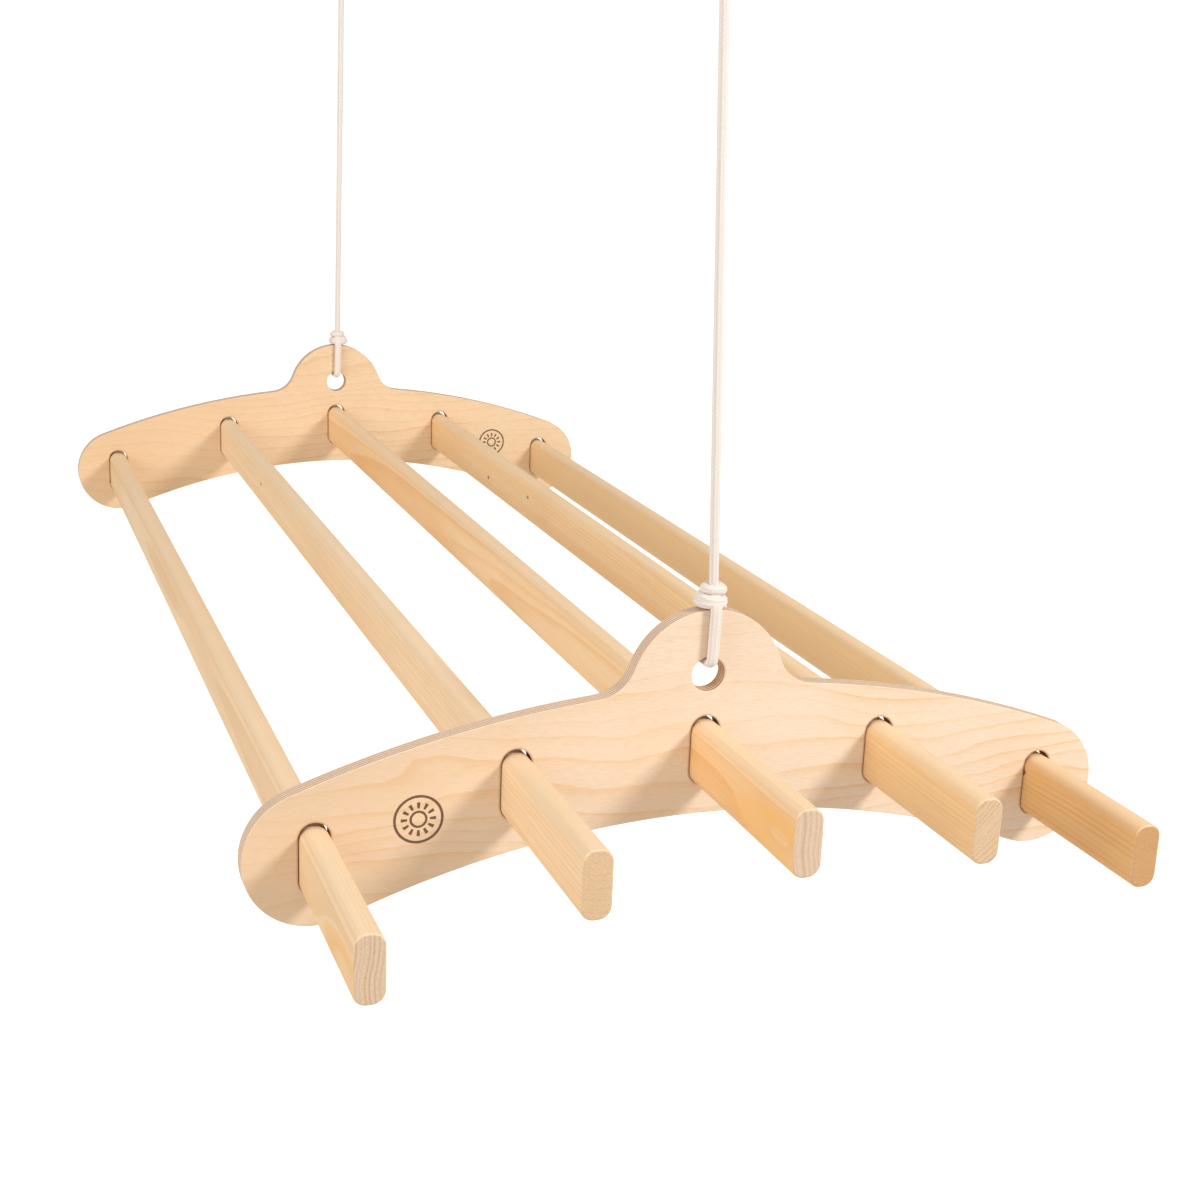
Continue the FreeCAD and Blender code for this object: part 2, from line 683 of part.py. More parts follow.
def make_hanging_loop(end, y):
    """Loop through the rope hole, closed by the knot over the crown; its origin is the middle
    of the rope hole."""
    r = rope_radius.value
    gap = s.rope_gap.value
    bend = s.rope_hole_easing.value + r + gap
    leg_y = s.bracket_thick.value / 2 + r + gap
    bight_z = s.rope_hole_radius.value - r - gap
    leg_top = knot_base_z.value + s.knot_lower_turn.value / 2
    low = bight_z + bend
    side = leg_y - bend
    path = [
        straight(Vector(0, -leg_y, leg_top), Vector(0, -leg_y, low)),
        turn_round(Vector(0, -side, low), bend, 180, 270),
        straight(Vector(0, -side, bight_z), Vector(0, side, bight_z)),
        turn_round(Vector(0, side, low), bend, 270, 360),
        straight(Vector(0, leg_y, low), Vector(0, leg_y, leg_top)),
    ]
    loop, length = tube(path)
    turns = [(s.knot_lower_radius.value, s.knot_lower_turn.value),
             (s.knot_upper_radius.value, s.knot_upper_turn.value)]
    rings = turns_of_knot(Vector(0, 0, knot_base_z.value), Vector(0, 0, 1), turns)
    core_radius = (s.knot_upper_radius - s.knot_upper_turn / 2).value
    core_foot = (knot_base_z + s.knot_core_foot).value
    core = Part.makeCylinder(core_radius, knot_top_z.value - core_foot, Vector(0, 0, core_foot))
    knot = loop.fuse(rings + [core]).removeSplitter()
    rope_feature(f"{end}_loop_and_knot", knot, y.value, hole_z.value)
    print(f"{end} loop: {length:.1f} mm round the bracket, bends of radius {bend:.1f} mm")


def make_rope(end, bracket_y, pulley_y):
    """The taut rope from the knot up to the wheel, the turn over the wheel and the short
    hauling rope that comes out of the yoke."""
    wheel = Vector(0, number(pulley_y), -s.axle_below_ceiling.value)
    knot_top = Vector(0, bracket_y.value, (hole_z + knot_top_z).value)
    reach = wheel - knot_top
    radius = s.wheel_rope_radius.value
    # the rope meets the wheel on its +Y side, square to the radius there
    facing = math.atan2(-reach.z, -reach.y)
    touch = facing + math.acos(radius / reach.Length)
    contact = wheel + Vector(0, radius * math.cos(touch), radius * math.sin(touch))
    along = (contact - knot_top).normalize()
    start = knot_top + along * s.knot_rope_space.value
    drop, drop_length = tube([straight(start, contact)])
    rope_feature(f"{end}_rope", drop)

    top = wheel + Vector(0, 0, radius)
    mouth = top - Vector(0, cheek_reach.value * HAND_OVER, 0)
    turn = turn_round(wheel, radius, math.degrees(touch), 90)
    over, over_length = tube([turn, straight(top, mouth)])
    rope_feature(f"{end}_rope_over_wheel", over)

    outside = top - Vector(0, (cheek_reach + s.knot_rope_space).value, 0)
    inside = mouth - Vector(0, s.rope_part_space.value, 0)
    short, short_length = tube([straight(inside, outside)])
    rope_feature(f"{end}_hauling_rope", short)
    make_stopper_knot(end, outside)

    lean = math.degrees(math.atan2(abs(along.y), along.z))
    print(f"{end} rope: {drop_length:.1f} mm taut, leaning {lean:.2f} degrees")
    print(f"{end} rope meets the wheel at y {contact.y:.2f}, z {contact.z:.2f}")
    print(f"{end} rope over the wheel: {over_length:.1f} mm, its turn of radius {radius:.1f} mm")
    print(f"{end} hauling rope: {short_length:.1f} mm")


def make_stopper_knot(end, place_of_knot):
    """The knot that jams against the cheeks, with the rope's end beyond it."""
    back = Vector(0, -1, 0)
    half = s.stopper_length.value / 2
    overlap = s.knot_rope_space.value
    turns = [(s.stopper_radius.value, half), ((s.stopper_radius - s.stopper_taper).value, half)]
    rings = turns_of_knot(Vector(), back, turns)
    core = Part.makeCylinder(s.stopper_radius.value - half / 2, 2 * (half - overlap),
                             back * overlap, back)
    tail = Part.makeCylinder(rope_radius.value, (s.rope_tail_length + overlap * 2).value,
                             back * 2 * (half - overlap), back)
    knot = rings[0].fuse([rings[1], core, tail]).removeSplitter()
    rope_feature(f"{end}_stopper_knot", knot, place_of_knot.y, place_of_knot.z)


for end, bracket_y, pulley_y in (("near", near_bracket_y, 0.0),
                                 ("far", far_bracket_y, far_pulley_y)):
    make_plate(end, pulley_y)
    make_yoke(end, pulley_y)
    make_rivets(end, pulley_y)
    make_wheel(end, pulley_y)
    make_axle(end, pulley_y)
    make_hanging_loop(end, bracket_y)
    make_rope(end, bracket_y, pulley_y)

doc.recompute()


# ---------------------------------------------------------------- checks and export

def check_document():
    for item in doc.Objects:
        faults = [state for state in item.State if state in ("Invalid", "Error")]
        if faults:
            raise RuntimeError(f"{item.Label} is {faults}")
    for item in nodes:
        shape = item.Shape
        if shape.isNull() or not shape.isValid() or not shape.Solids:
            raise RuntimeError(f"{item.Label} has no valid solid")


check_document()
os.makedirs("parts", exist_ok=True)
for item in nodes:
    item.Shape.exportStep(f"parts/{item.Label}.step")
    box = item.Shape.BoundBox
    print(f"{item.Label}: {len(item.Shape.Solids)} solid, {item.Shape.Volume / 1000:.2f} cm3, "
          f"x {box.XMin:.1f}..{box.XMax:.1f}, y {box.YMin:.1f}..{box.YMax:.1f}, "
          f"z {box.ZMin:.1f}..{box.ZMax:.1f}")
print(f"{len(nodes)} nodes")
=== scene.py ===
import math

import bmesh
import bpy
from mathutils import Matrix, Vector


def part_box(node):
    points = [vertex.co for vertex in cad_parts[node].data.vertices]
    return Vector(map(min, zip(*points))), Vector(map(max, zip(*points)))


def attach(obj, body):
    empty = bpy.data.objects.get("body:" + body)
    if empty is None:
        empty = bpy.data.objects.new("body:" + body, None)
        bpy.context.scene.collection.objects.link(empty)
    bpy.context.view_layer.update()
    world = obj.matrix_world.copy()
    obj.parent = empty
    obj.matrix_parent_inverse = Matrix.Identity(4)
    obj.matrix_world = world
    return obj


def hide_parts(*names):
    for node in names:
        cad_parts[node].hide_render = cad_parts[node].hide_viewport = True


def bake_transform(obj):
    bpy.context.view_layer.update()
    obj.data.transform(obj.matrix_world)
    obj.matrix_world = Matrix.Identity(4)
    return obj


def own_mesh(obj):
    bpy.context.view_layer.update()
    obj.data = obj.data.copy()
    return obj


# Ceiling mounted pulley rack. Metres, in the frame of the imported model: +Z up, +Y along the
# laths away from the viewer, the origin on the ceiling over the near pulley.

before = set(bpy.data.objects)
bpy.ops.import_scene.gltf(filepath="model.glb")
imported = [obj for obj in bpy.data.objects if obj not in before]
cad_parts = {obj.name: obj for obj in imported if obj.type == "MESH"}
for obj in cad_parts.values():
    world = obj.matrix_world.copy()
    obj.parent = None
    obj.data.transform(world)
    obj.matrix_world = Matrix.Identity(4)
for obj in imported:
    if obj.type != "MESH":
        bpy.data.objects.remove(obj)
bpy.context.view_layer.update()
scene = bpy.context.scene
scene.view_settings.view_transform = "Standard"

MM = 0.001
NEAR_Y, FAR_Y = -0.015, 1.139           # middle planes of the two brackets
NEAR_PULLEY_Y, FAR_PULLEY_Y = 0.0, 1.084
HOLE_Z = -0.520                         # rope holes
AXLE_Z = -0.035                         # pulley axles

CAMERA_PLACE = (-0.47355, -1.07510, -0.14036)
CAMERA_YAW, CAMERA_PITCH, CAMERA_ROLL = 20.559, 16.054, 2.356       # degrees
CAMERA_LENS, CAMERA_SENSOR = 55.426, 36.0                           # millimetres


# ---------------------------------------------------------------- camera and lamps

def aim_camera():
    yaw, pitch, roll = (math.radians(a) for a in (CAMERA_YAW, CAMERA_PITCH, CAMERA_ROLL))
    ahead = Vector((math.sin(yaw) * math.cos(pitch), math.cos(yaw) * math.cos(pitch),
                    -math.sin(pitch)))
    level = Vector((math.cos(yaw), -math.sin(yaw), 0.0))
    upright = level.cross(ahead)
    across = level * math.cos(roll) + upright * math.sin(roll)
    up = upright * math.cos(roll) - level * math.sin(roll)
    data = bpy.data.cameras.new("camera")
    data.sensor_width = CAMERA_SENSOR
    data.lens = CAMERA_LENS
    data.clip_end = 200.0
    camera = bpy.data.objects.new("camera", data)
    turn = Matrix((across, up, -ahead)).transposed().to_4x4()
    camera.matrix_world = Matrix.Translation(CAMERA_PLACE) @ turn
    scene.collection.objects.link(camera)
    scene.camera = camera


def soft_light(name, place, target, size, power, colour=(1.0, 1.0, 1.0)):
    """A round area lamp, size metres across, that faces its target."""
    data = bpy.data.lights.new(name, "AREA")
    data.shape = "DISK"
    data.size = size
    data.energy = power
    data.color = colour
    lamp = bpy.data.objects.new(name, data)
    lamp.location = place
    lamp.rotation_euler = (Vector(target) - Vector(place)).to_track_quat("-Z", "Y").to_euler()
    scene.collection.objects.link(lamp)


aim_camera()


# ---------------------------------------------------------------- wiring helpers

class Wiring:
    """Adds and joins the nodes of one material or shader group."""

    def __init__(self, tree):
        self.tree = tree

    def node(self, kind, **settings):
        made = self.tree.nodes.new(kind)
        for key, value in settings.items():
            setattr(made, key, value)
        return made

    def feed(self, socket, value):
        if isinstance(value, bpy.types.NodeSocket):
            self.tree.links.new(value, socket)
        elif value is not None:
            socket.default_value = value

    def math(self, operation, *values):
        made = self.node("ShaderNodeMath", operation=operation)
        for k, value in enumerate(values):
            self.feed(made.inputs[k], value)
        return made.outputs[0]

    def add(self, a, b):
        return self.math("ADD", a, b)

    def take(self, a, b):
        return self.math("SUBTRACT", a, b)

    def times(self, a, b):
        return self.math("MULTIPLY", a, b)

    def vector(self, operation, a, b=None, scale=None):
        made = self.node("ShaderNodeVectorMath", operation=operation)
        self.feed(made.inputs[0], a)
        if b is not None:
            self.feed(made.inputs[1], b)
        if scale is not None:
            self.feed(made.inputs["Scale"], scale)
        return made.outputs["Value" if operation in ("LENGTH", "DISTANCE") else "Vector"]

    def split(self, vector):
        made = self.node("ShaderNodeSeparateXYZ")
        self.feed(made.inputs[0], vector)
        return made.outputs

    def join(self, x, y, z):
        made = self.node("ShaderNodeCombineXYZ")
        for socket, value in zip(made.inputs, (x, y, z)):
            self.feed(socket, value)
        return made.outputs[0]

    def step(self, value, low, high, out_low=0.0, out_high=1.0):
        """Smooth change from out_low to out_high as value goes from low to high."""
        made = self.node("ShaderNodeMapRange", interpolation_type="SMOOTHSTEP")
        for socket, number in zip(made.inputs, (value, low, high, out_low, out_high)):
            self.feed(socket, number)
        return made.outputs[0]

    def noise(self, vector, scale=1.0, detail=2.0, roughness=0.5, colour=False):
        made = self.node("ShaderNodeTexNoise")
        self.feed(made.inputs["Vector"], vector)
        self.feed(made.inputs["Scale"], scale)
        self.feed(made.inputs["Detail"], detail)
        self.feed(made.inputs["Roughness"], roughness)
        return made.outputs["Color" if colour else "Fac"]

    def stretched(self, vector, stretch):
        return self.vector("MULTIPLY", vector, stretch)

    def mix(self, share, a, b, blend="MIX"):
        made = self.node("ShaderNodeMix", data_type="RGBA", blend_type=blend)
        self.feed(made.inputs[0], share)
        self.feed(made.inputs[6], a)
        self.feed(made.inputs[7], b)
        return made.outputs[2]

    def between(self, share, tones):
        """A colour part of the way from the first to the second of two tones."""
        return self.mix(share, rgb(*tones[0]), rgb(*tones[1]))

    def shade(self, colour, grey):
        """The colour made darker or lighter by a grey value near one."""
        return self.mix(1.0, colour, self.join(grey, grey, grey), "MULTIPLY")

    def reach(self, a, b):
        """Length of the step (a, b)."""
        return self.math("SQRT", self.add(self.times(a, a), self.times(b, b)))

    def bump(self, height, strength, distance):
        made = self.node("ShaderNodeBump")
        self.feed(made.inputs["Height"], height)
        self.feed(made.inputs["Strength"], strength)
        self.feed(made.inputs["Distance"], distance)
        return made.outputs[0]

    def use(self, group, **values):
        """Place a shader group; input names are given with underscores for spaces."""
        made = self.node("ShaderNodeGroup", node_tree=group)
        for key, value in values.items():
            self.feed(made.inputs[key.replace("_", " ")], value)
        return made.outputs


SOCKET = {"vector": "NodeSocketVector", "value": "NodeSocketFloat", "colour": "NodeSocketColor"}


def shader_group(name, inputs, outputs):
    """An empty shader group with named sockets; returns it, its wiring, and its two ends."""
    tree = bpy.data.node_groups.new(name, "ShaderNodeTree")
    for socket, kind in inputs:
        tree.interface.new_socket(socket, in_out="INPUT", socket_type=SOCKET[kind])
    for socket, kind in outputs:
        tree.interface.new_socket(socket, in_out="OUTPUT", socket_type=SOCKET[kind])
    w = Wiring(tree)
    given = w.node("NodeGroupInput").outputs
    result = w.node("NodeGroupOutput").inputs
    return tree, w, given, result


def material(name, roughness, metallic=0.0, specular=0.5):
    """A material whose shader has those constants; returns it, its wiring and its shader."""
    made = bpy.data.materials.new(name)
    made.use_nodes = True
    w = Wiring(made.node_tree)
    shader = made.node_tree.nodes["Principled BSDF"]
    shader.inputs["Roughness"].default_value = roughness
    shader.inputs["Metallic"].default_value = metallic
    shader.inputs["Specular IOR Level"].default_value = specular
    return made, w, shader


def object_place(w):
    return w.node("ShaderNodeTexCoord").outputs["Object"]


def object_normal(w):
    return w.node("ShaderNodeTexCoord").outputs["Normal"]


def rgb(red, green, blue):
    return (red, green, blue, 1.0)


# ---------------------------------------------------------------- wood effects

def growth_rings_group():
    """Solid timber sawn from a trunk: rings about a pith that runs along Y."""
    tree, w, given, result = shader_group(
        "growth rings",
        [("Position", "vector"), ("Pith X", "value"), ("Pith Z", "value"),
         ("Ring width", "value"), ("Wander", "value"), ("Taper", "value"), ("Swell", "value")],
        [("Late wood", "value"), ("Fibre", "value"), ("Pores", "value")])
    at = given["Position"]
    wander = w.vector("SUBTRACT", w.noise(w.stretched(at, (9.0, 1.3, 9.0)), 1.0, 2.0, 0.45,
                                          colour=True), (0.5, 0.5, 0.5))
    wander = w.vector("SCALE", wander, scale=given["Wander"])
    bent = w.split(w.vector("ADD", at, wander))
    x = w.take(bent["X"], given["Pith X"])
    z = w.take(bent["Z"], given["Pith Z"])
    out = w.add(w.reach(x, z), w.times(w.split(at)["Y"], given["Taper"]))
    out = w.add(out, given["Swell"])
    count = w.math("DIVIDE", out, given["Ring width"])
    uneven = w.noise(w.join(w.times(count, 0.45), 0.3, 0.7), 1.0, 1.0, 0.5)
    count = w.add(count, w.times(uneven, 2.2))
    part = w.math("FRACT", count)
    late = w.times(w.step(part, 0.30, 0.90), w.step(part, 1.0, 0.93))
    depth = w.noise(w.join(w.times(w.math("FLOOR", count), 0.73), 5.1, 1.7), 1.0, 0.0, 0.5)
    late = w.times(late, w.step(depth, 0.25, 0.75, 0.35, 1.0))
    w.feed(result["Late wood"], late)
    fibre = w.noise(w.stretched(at, (1500.0, 22.0, 1500.0)), 1.0, 3.0, 0.6)
    w.feed(result["Fibre"], fibre)
    pores = w.noise(w.stretched(at, (2600.0, 900.0, 2600.0)), 1.0, 2.0, 0.7)
    w.feed(result["Pores"], pores)
    return tree


def branch_knot_group():
    """A small branch knot seen end on: a dark eye, and how far it swells the grain."""
    tree, w, given, result = shader_group(
        "branch knot", [("Position", "vector"), ("Centre", "vector"), ("Radius", "value")],
        [("Eye", "value"), ("Swell", "value")])
    off = w.vector("SUBTRACT", given["Position"], given["Centre"])
    ragged = w.noise(w.stretched(given["Position"], (400.0, 250.0, 400.0)), 1.0, 2.0, 0.5)
    far = w.vector("LENGTH", w.stretched(off, (0.3, 0.62, 1.0)))
    ratio = w.math("DIVIDE", far, given["Radius"])
    ratio = w.add(ratio, w.times(w.take(ragged, 0.5), 0.7))
    w.feed(result["Eye"], w.step(ratio, 1.1, 0.75))
    long_way = w.vector("LENGTH", w.stretched(off, (0.3, 0.28, 1.0)))
    share = w.math("DIVIDE", long_way, w.times(given["Radius"], 3.4))
    swell = w.math("EXPONENT", w.times(w.times(share, share), -1.0))
    w.feed(result["Swell"], w.times(swell, given["Radius"]))
    return tree


def handling_group():
    """Faint darker patches where hands touch, and pale rubbed streaks."""
    tree, w, given, result = shader_group(
        "handling", [("Position", "vector"), ("Patch size", "value")],
        [("Grime", "value"), ("Rubbed", "value")])
    patch = w.noise(given["Position"], w.math("DIVIDE", 1.0, given["Patch size"]), 4.0, 0.6)
    w.feed(result["Grime"], w.step(patch, 0.52, 0.75))
    rub = w.noise(w.stretched(given["Position"], (90.0, 30.0, 260.0)), 1.0, 3.0, 0.65)
    w.feed(result["Rubbed"], w.step(rub, 0.60, 0.72))
    return tree


growth_rings = growth_rings_group()
branch_knot = branch_knot_group()
handling = handling_group()


# ---------------------------------------------------------------- laths

# each tone is the early wood, the late wood and the end grain
PALE = ((0.88, 0.66, 0.43), (0.78, 0.49, 0.24), (0.84, 0.64, 0.46))
PALE_WARM_END = (*PALE[:2], (0.85, 0.59, 0.36))
HONEY = ((0.88, 0.62, 0.36), (0.80, 0.42, 0.14), (0.84, 0.64, 0.48))
YELLOW = ((0.89, 0.64, 0.37), (0.80, 0.48, 0.20), (0.83, 0.60, 0.39))
AMBER = ((0.84, 0.55, 0.26), (0.72, 0.36, 0.11), (0.70, 0.39, 0.17))
# painted light: the paler tone painted on the upper faces of the laths
TOP_PAINTED_LIGHT = (0.89, 0.69, 0.48)
END_RING = (0.62, 0.35, 0.18)
RESIN = (0.87, 0.48, 0.13)
# painted light: a paler tone painted over the part of a lath beyond the near bracket
PAINTED_LIFT_TONE = (0.95, 0.70, 0.40)
# pale arris tone: sanded wood and a painted highlight
ARRIS_SANDING_AND_HIGHLIGHT = (0.90, 0.76, 0.60)
KNOT_EYE = (0.20, 0.075, 0.025)
LATH_GRIME = (0.52, 0.33, 0.17)
LEFT_FACE = -0.0098                     # the left side of a lath, from its middle
NEAR_BRACKET_STRETCH = (-0.60, -0.52)   # of a lath, from its middle


def pine(name, centre, pith, tone, seed, ring_width=0.0034, wander=0.006, taper=0.004,
         end_rings=0.5, eyes=(), swirls=(), painted_lift=0.0):
    """Planed pine for one lath. Eyes are branch knots, each a place and a radius, and swirls are
    knots buried under the face; both places are from the middle of the lath. The last argument is
    how far the part beyond the near bracket is painted paler: painted light that lifts the shade
    on it."""
    made, w, shader = material(name, 0.55)
    place = w.vector("SUBTRACT", object_place(w), centre)
    at = w.vector("ADD", place, (0.0, seed, 0.0))
    early, late, end = tone
    swell, eye, resin = 0.0, 0.0, 0.0
    for spot, radius in eyes:
        knot = w.use(branch_knot, Position=place, Centre=spot, Radius=radius)
        swell = w.add(swell, knot["Swell"])
        eye = w.math("MAXIMUM", eye, knot["Eye"])
    for spot, radius in swirls:
        buried = w.use(branch_knot, Position=place, Centre=spot, Radius=radius)
        swell = w.add(swell, buried["Swell"])
        bowl = w.math("DIVIDE", buried["Swell"], radius)
        band = w.times(w.step(bowl, 0.22, 0.42), w.step(bowl, 0.98, 0.72, 0.35, 1.0))
        resin = w.math("MAXIMUM", resin, band)
    rings = w.use(growth_rings, Position=at, Pith_X=pith[0], Pith_Z=pith[1], Ring_width=ring_width,
                  Wander=wander, Taper=taper, Swell=swell)
    # the ends of the lath show the rings cut across
    facing = w.math("ABSOLUTE", w.split(object_normal(w))["Y"])
    cut_across = w.step(facing, 0.75, 0.95)
    arris_sanding_and_highlight = w.times(w.step(facing, 0.30, 0.60), w.step(facing, 0.95, 0.80))
    broad = w.noise(w.stretched(at, (20.0, 1.6, 20.0)), 1.0, 2.0, 0.5)
    colour = w.mix(w.times(rings["Late wood"], 0.72), rgb(*early), rgb(*late))
    colour = w.mix(w.step(broad, 0.38, 0.66, 0.0, 0.46), colour, rgb(*late))
    colour = w.shade(colour, w.step(rings["Fibre"], 0.30, 0.75, 0.95, 1.04))
    end_colour = w.mix(w.times(rings["Late wood"], end_rings), rgb(*end), rgb(*END_RING))
    end_colour = w.shade(end_colour, w.step(rings["Pores"], 0.35, 0.70, 0.80, 1.06))
    colour = w.mix(w.times(resin, 0.55), colour, rgb(*RESIN))
    # painted light: the part beyond the near bracket is painted paler, lifting the shade on that
    # face
    if painted_lift:
        beyond_bracket = w.step(w.split(place)["Y"], *NEAR_BRACKET_STRETCH)
        colour = w.mix(w.times(beyond_bracket, painted_lift), colour, rgb(*PAINTED_LIFT_TONE))
    # painted light: the upper faces are painted paler, standing in for the light that falls on
    # them
    painted_top_light = w.step(w.split(object_normal(w))["Z"], 0.15, 0.95)
    colour = w.mix(w.times(painted_top_light, 0.62), colour, rgb(*TOP_PAINTED_LIGHT))
    colour = w.mix(cut_across, colour, end_colour)
    # the eased arris round each end is painted paler, partly its sanded wood and partly a painted
    # highlight
    colour = w.mix(w.times(arris_sanding_and_highlight, 0.18), colour, rgb(*ARRIS_SANDING_AND_HIGHLIGHT))
    colour = w.mix(w.times(eye, 0.88), colour, rgb(*KNOT_EYE))
    worn = w.use(handling, Position=at, Patch_size=0.11)
    colour = w.mix(w.times(worn["Grime"], 0.10), colour, rgb(*LATH_GRIME))
    w.feed(shader.inputs["Base Color"], colour)
    rough = w.add(w.times(rings["Late wood"], -0.10), w.times(rings["Fibre"], 0.16))
    rough = w.add(w.add(rough, 0.47), w.times(cut_across, 0.16))
    w.feed(shader.inputs["Roughness"], w.take(rough, w.times(worn["Rubbed"], 0.05)))
    height = w.add(w.times(rings["Late wood"], 0.5), w.times(rings["Fibre"], 0.35))
    height = w.add(height, w.times(w.times(rings["Pores"], cut_across), 0.8))
    height = w.take(height, w.times(eye, 0.4))
    w.feed(shader.inputs["Normal"], w.bump(height, 0.45, 0.0003))
    return made


def lath_middle(k):
    low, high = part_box(f"lath_{k}")
    return tuple((low + high) / 2)


LATH_WOODS = [
    dict(pith=(-0.210, 0.004), tone=PALE, seed=3.1, ring_width=0.0026, wander=0.004,
         taper=0.0015, end_rings=0.62, swirls=[((LEFT_FACE, -0.685, -0.008), 0.0042)]),
    dict(pith=(0.012, 0.150), tone=PALE_WARM_END, seed=11.7, ring_width=0.0042, wander=0.010,
         taper=0.006, end_rings=0.10, eyes=[((LEFT_FACE, 0.33, 0.004), 0.0022)]),
    dict(pith=(-0.120, -0.012), tone=HONEY, seed=21.4, ring_width=0.0030, wander=0.012,
         taper=0.010, end_rings=0.60, swirls=[((LEFT_FACE, -0.690, -0.006), 0.0050)]),
    dict(pith=(-0.080, 0.085), tone=YELLOW, seed=34.9, ring_width=0.0034, wander=0.007,
         taper=0.004, eyes=[((LEFT_FACE, 0.20, 0.006), 0.0019),
                            ((LEFT_FACE, 0.345, -0.004), 0.0022)]),
    dict(pith=(0.030, -0.090), tone=AMBER, seed=47.3, ring_width=0.0040, wander=0.009,
         taper=0.005, end_rings=0.35, painted_lift=0.65,
         eyes=[((LEFT_FACE, -0.57, 0.010), 0.0036)]),
]


def dress(node, finish):
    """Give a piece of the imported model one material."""
    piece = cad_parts[node]
    piece.data.materials.clear()
    piece.data.materials.append(finish)


for k, wood in enumerate(LATH_WOODS, start=1):
    dress(f"lath_{k}", pine(f"pine lath {k}", lath_middle(k), **wood))


# ---------------------------------------------------------------- brackets

PLY_THICK = 0.012
PLY_LAYER = PLY_THICK / 9
LATH_PITCH = 0.1306                     # from one slot to the next, across the rack
SLOT_ARC = 0.725                        # radius of the arc that the slots follow
SLOT_MIDDLE_Z = -0.5728                 # middle slot
SLOT_HALF_STRAIGHT = 0.0139             # half of the straight part between the round ends
SLOT_HALF_WIDTH = 0.01035
ROPE_HOLE_RADIUS = 0.0115
MARK_RADIUS, SUN_RADIUS, SUN_RAYS = 0.0156, 0.0051, 12.0
RAYS_START, RAYS_STOP = (0.0072, 0.0076), (0.0118, 0.0112)

# the darker tone towards the left end of each bracket
LEFTWARD_TONE = (0.79, 0.53, 0.30)
CLOUD = (0.84, 0.58, 0.33)
LONG_LAYER = ((0.78, 0.60, 0.46), (0.87, 0.71, 0.57))       # pores, solid wood
CROSS_LAYER = ((0.55, 0.36, 0.24), (0.70, 0.51, 0.37))      # pores, solid wood
HOLE_LAYERS = ((0.86, 0.64, 0.46), (0.46, 0.21, 0.09))      # long layer, cross layer
CHAR = ((0.27, 0.125, 0.05), (0.52, 0.28, 0.13))            # thick, thin
GLUE = (0.42, 0.24, 0.13)
SCORCHED_RIM = (0.45, 0.22, 0.09)
BURNT = (0.115, 0.045, 0.018)
PLY_GRIME = (0.50, 0.33, 0.19)


def veneer_group():
    """Rotary cut birch veneer: wandering contour lines that run across the bracket."""
    tree, w, given, result = shader_group(
        "veneer", [("Position", "vector"), ("Line spacing", "value")],
        [("Line", "value"), ("Shade", "value"), ("Fleck", "value")])
    at = given["Position"]
    hills = w.take(w.noise(w.stretched(at, (3.2, 3.0, 9.0)), 1.0, 2.5, 0.5), 0.5)
    ripple = w.take(w.noise(w.stretched(at, (16.0, 9.0, 60.0)), 1.0, 3.0, 0.55), 0.5)
    level = w.add(w.split(at)["Z"], w.times(hills, 0.10))
    level = w.add(level, w.times(ripple, 0.009))
    level = w.math("DIVIDE", level, given["Line spacing"])
    uneven = w.noise(w.join(w.times(level, 0.6), 2.7, 0.4), 1.0, 1.0, 0.5)
    level = w.add(level, w.times(uneven, 1.6))
    part = w.math("FRACT", level)
    sharp = w.times(w.step(part, 0.70, 0.97), w.step(part, 1.0, 0.98))
    depth = w.noise(w.join(w.times(w.math("FLOOR", level), 0.61), 3.3, 8.2), 1.0, 0.0, 0.5)
    fade = w.noise(w.stretched(at, (7.0, 5.0, 5.0)), 1.0, 1.0, 0.5)
    strength = w.times(w.step(depth, 0.30, 0.70, 0.25, 1.0), w.step(fade, 0.35, 0.65, 0.35, 1.0))
    w.feed(result["Line"], w.times(sharp, strength))
    w.feed(result["Shade"], w.times(w.step(part, 0.0, 1.0), strength))
    w.feed(result["Fleck"], w.noise(w.stretched(at, (120.0, 900.0, 1900.0)), 1.0, 3.0, 0.65))
    return tree


def slot_scorch_group():
    """How near a point is to the laser cut edge of a lath slot, measured across the face."""
    tree, w, given, result = shader_group(
        "slot scorch", [("Position", "vector")], [("Wall", "value"), ("Rim", "value")])
    place = w.split(given["Position"])
    x = place["X"]
    nearest = w.times(w.math("ROUND", w.math("DIVIDE", x, LATH_PITCH)), LATH_PITCH)
    sag = w.math("SQRT", w.take(SLOT_ARC * SLOT_ARC, w.times(nearest, nearest)))
    middle = w.add(sag, SLOT_MIDDLE_Z - SLOT_ARC)
    side = w.take(x, nearest)
    up = w.math("ABSOLUTE", w.take(place["Z"], middle))
    beyond = w.math("MAXIMUM", w.take(up, SLOT_HALF_STRAIGHT), 0.0)
    gap = w.take(w.reach(side, beyond), SLOT_HALF_WIDTH)
    w.feed(result["Wall"], w.step(gap, 0.0016, 0.0008))
    w.feed(result["Rim"], w.step(gap, 0.0016, 0.0001))
    return tree


